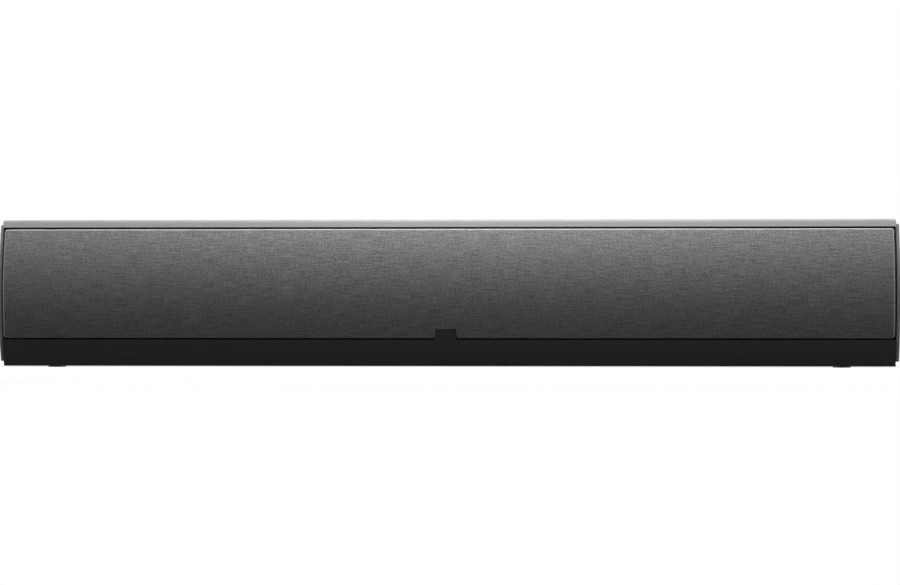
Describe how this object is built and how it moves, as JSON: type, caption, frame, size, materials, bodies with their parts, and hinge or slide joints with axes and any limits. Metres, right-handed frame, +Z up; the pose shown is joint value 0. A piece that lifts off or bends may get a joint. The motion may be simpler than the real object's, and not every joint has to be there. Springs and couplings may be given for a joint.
{
  "type": "center channel speaker",
  "caption": "Long slim loudspeaker with a bowed cloth grille, dark extruded metal body, capped ends and rear binding posts, made to stand below a screen or hang on a wall.",
  "frame": {"origin": "centre of the speaker's footprint, on the surface that it stands on", "axes": "+X along the width to the listener's right, -Y out of the grille towards the listener, +Z up"},
  "size_m": [0.914, 0.13, 0.15],
  "materials": {
    "body_metal": "satin, dark anodised",
    "cap_metal": "satin, dark anodised",
    "grille_cloth": "fine woven, dark grey",
    "black_moulding": "fine matt",
    "baffle_board": "matt",
    "black_rubber": "matt",
    "surround_rubber": "satin",
    "cast_frame": "powder coated, matt",
    "cone_paper": "coated, matt",
    "radiator_plastic": "matt",
    "dome_cloth": "coated",
    "spider_cloth": "resin-treated weave",
    "coil_copper": "enamelled",
    "ferrite": "matt",
    "plated_steel": "zinc plated",
    "black_screw": "black oxide",
    "board_laminate": "lacquered",
    "capacitor_film": "wrapped film",
    "resistor_cement": "matt",
    "post_plating": "bright plated",
    "red_knob_plastic": "gloss",
    "black_knob_plastic": "gloss",
    "lead_insulation": "satin",
    "damping_wool": "loose felt"
  },
  "bodies": {
    "cabinet": {"base_pads": "black_rubber", "black_post": "post_plating", "cabinet_extrusion": "body_metal", "crossover_board": "board_laminate", "crossover_capacitors": "capacitor_film", "crossover_inductors": "coil_copper", "crossover_resistors": "resistor_cement", "damping_blankets": "damping_wool", "driver_screws": "black_screw", "end_cap_screws": "black_screw", "front_baffle": "baffle_board", "grille_cloth": "grille_cloth", "grille_frame": "black_moulding", "grille_sockets": "black_rubber", "left_end_cap": "cap_metal", "left_end_plate": "black_moulding", "left_radiator_frame": "cast_frame", "left_radiator_surround": "surround_rubber", "left_woofer_basket": "cast_frame", "left_woofer_magnet": "ferrite", "left_woofer_spider": "spider_cloth", "left_woofer_surround": "surround_rubber", "left_woofer_top_plate": "plated_steel", "left_woofer_yoke": "plated_steel", "lower_fascia": "black_moulding", "post_nuts": "post_plating", "red_post": "post_plating", "right_end_cap": "cap_metal", "right_end_plate": "black_moulding", "right_radiator_frame": "cast_frame", "right_radiator_surround": "surround_rubber", "right_woofer_basket": "cast_frame", "right_woofer_magnet": "ferrite", "right_woofer_spider": "spider_cloth", "right_woofer_surround": "surround_rubber", "right_woofer_top_plate": "plated_steel", "right_woofer_yoke": "plated_steel", "speaker_leads": "lead_insulation", "terminal_cup": "black_moulding", "terminal_screws": "black_screw", "tweeter_faceplate": "cast_frame", "tweeter_magnet": "ferrite", "tweeter_surround": "dome_cloth", "tweeter_top_plate": "plated_steel", "tweeter_yoke": "plated_steel", "wall_mount_inserts": "plated_steel"},
    "left_woofer_piston": {"left_woofer_cone": "cone_paper", "left_woofer_dust_cap": "cone_paper", "left_woofer_voice_coil": "coil_copper"},
    "right_woofer_piston": {"right_woofer_cone": "cone_paper", "right_woofer_dust_cap": "cone_paper", "right_woofer_voice_coil": "coil_copper"},
    "left_radiator_piston": {"left_radiator_diaphragm": "radiator_plastic"},
    "right_radiator_piston": {"right_radiator_diaphragm": "radiator_plastic"},
    "tweeter_piston": {"tweeter_dome": "dome_cloth", "tweeter_coil": "coil_copper"},
    "red_clamp": {"red_washer": "post_plating"},
    "red_grip": {"red_knob": "red_knob_plastic"},
    "black_clamp": {"black_washer": "post_plating"},
    "black_grip": {"black_knob": "black_knob_plastic"}
  },
  "joints": [
    {"name": "left_woofer_travel", "type": "slide", "parent": "cabinet", "child": "left_woofer_piston", "axis": [0, -1, 0], "range_m": [-0.004, 0.004], "stiffness_N_per_m": 1000, "deforming": ["left_woofer_surround", "left_woofer_spider"]},
    {"name": "right_woofer_travel", "type": "slide", "parent": "cabinet", "child": "right_woofer_piston", "axis": [0, -1, 0], "range_m": [-0.004, 0.004], "stiffness_N_per_m": 1000, "deforming": ["right_woofer_surround", "right_woofer_spider"]},
    {"name": "left_radiator_travel", "type": "slide", "parent": "cabinet", "child": "left_radiator_piston", "axis": [0, -1, 0], "range_m": [-0.005, 0.005], "stiffness_N_per_m": 600, "deforming": ["left_radiator_surround"]},
    {"name": "right_radiator_travel", "type": "slide", "parent": "cabinet", "child": "right_radiator_piston", "axis": [0, -1, 0], "range_m": [-0.005, 0.005], "stiffness_N_per_m": 600, "deforming": ["right_radiator_surround"]},
    {"name": "tweeter_travel", "type": "slide", "parent": "cabinet", "child": "tweeter_piston", "axis": [0, -1, 0], "range_m": [-0.0004, 0.0004], "stiffness_N_per_m": 500, "deforming": ["tweeter_surround"]},
    {"name": "red_washer_slide", "type": "slide", "parent": "cabinet", "child": "red_clamp", "axis": [0, 1, 0], "range_m": [0, 0.004]},
    {"name": "red_knob_turn", "type": "hinge", "parent": "red_clamp", "child": "red_grip", "pos_m": [-0.00953, 0.05, 0.062], "axis": [0, 1, 0], "range_deg": [0, 1440]},
    {"name": "black_washer_slide", "type": "slide", "parent": "cabinet", "child": "black_clamp", "axis": [0, 1, 0], "range_m": [0, 0.004]},
    {"name": "black_knob_turn", "type": "hinge", "parent": "black_clamp", "child": "black_grip", "pos_m": [0.00953, 0.05, 0.062], "axis": [0, 1, 0], "range_deg": [0, 1440]}
  ],
  "couplings": [
    {"joint": "red_knob_turn", "follows": "red_washer_slide", "rad_per_m": 6283.2},
    {"joint": "black_knob_turn", "follows": "black_washer_slide", "rad_per_m": 6283.2}
  ]
}
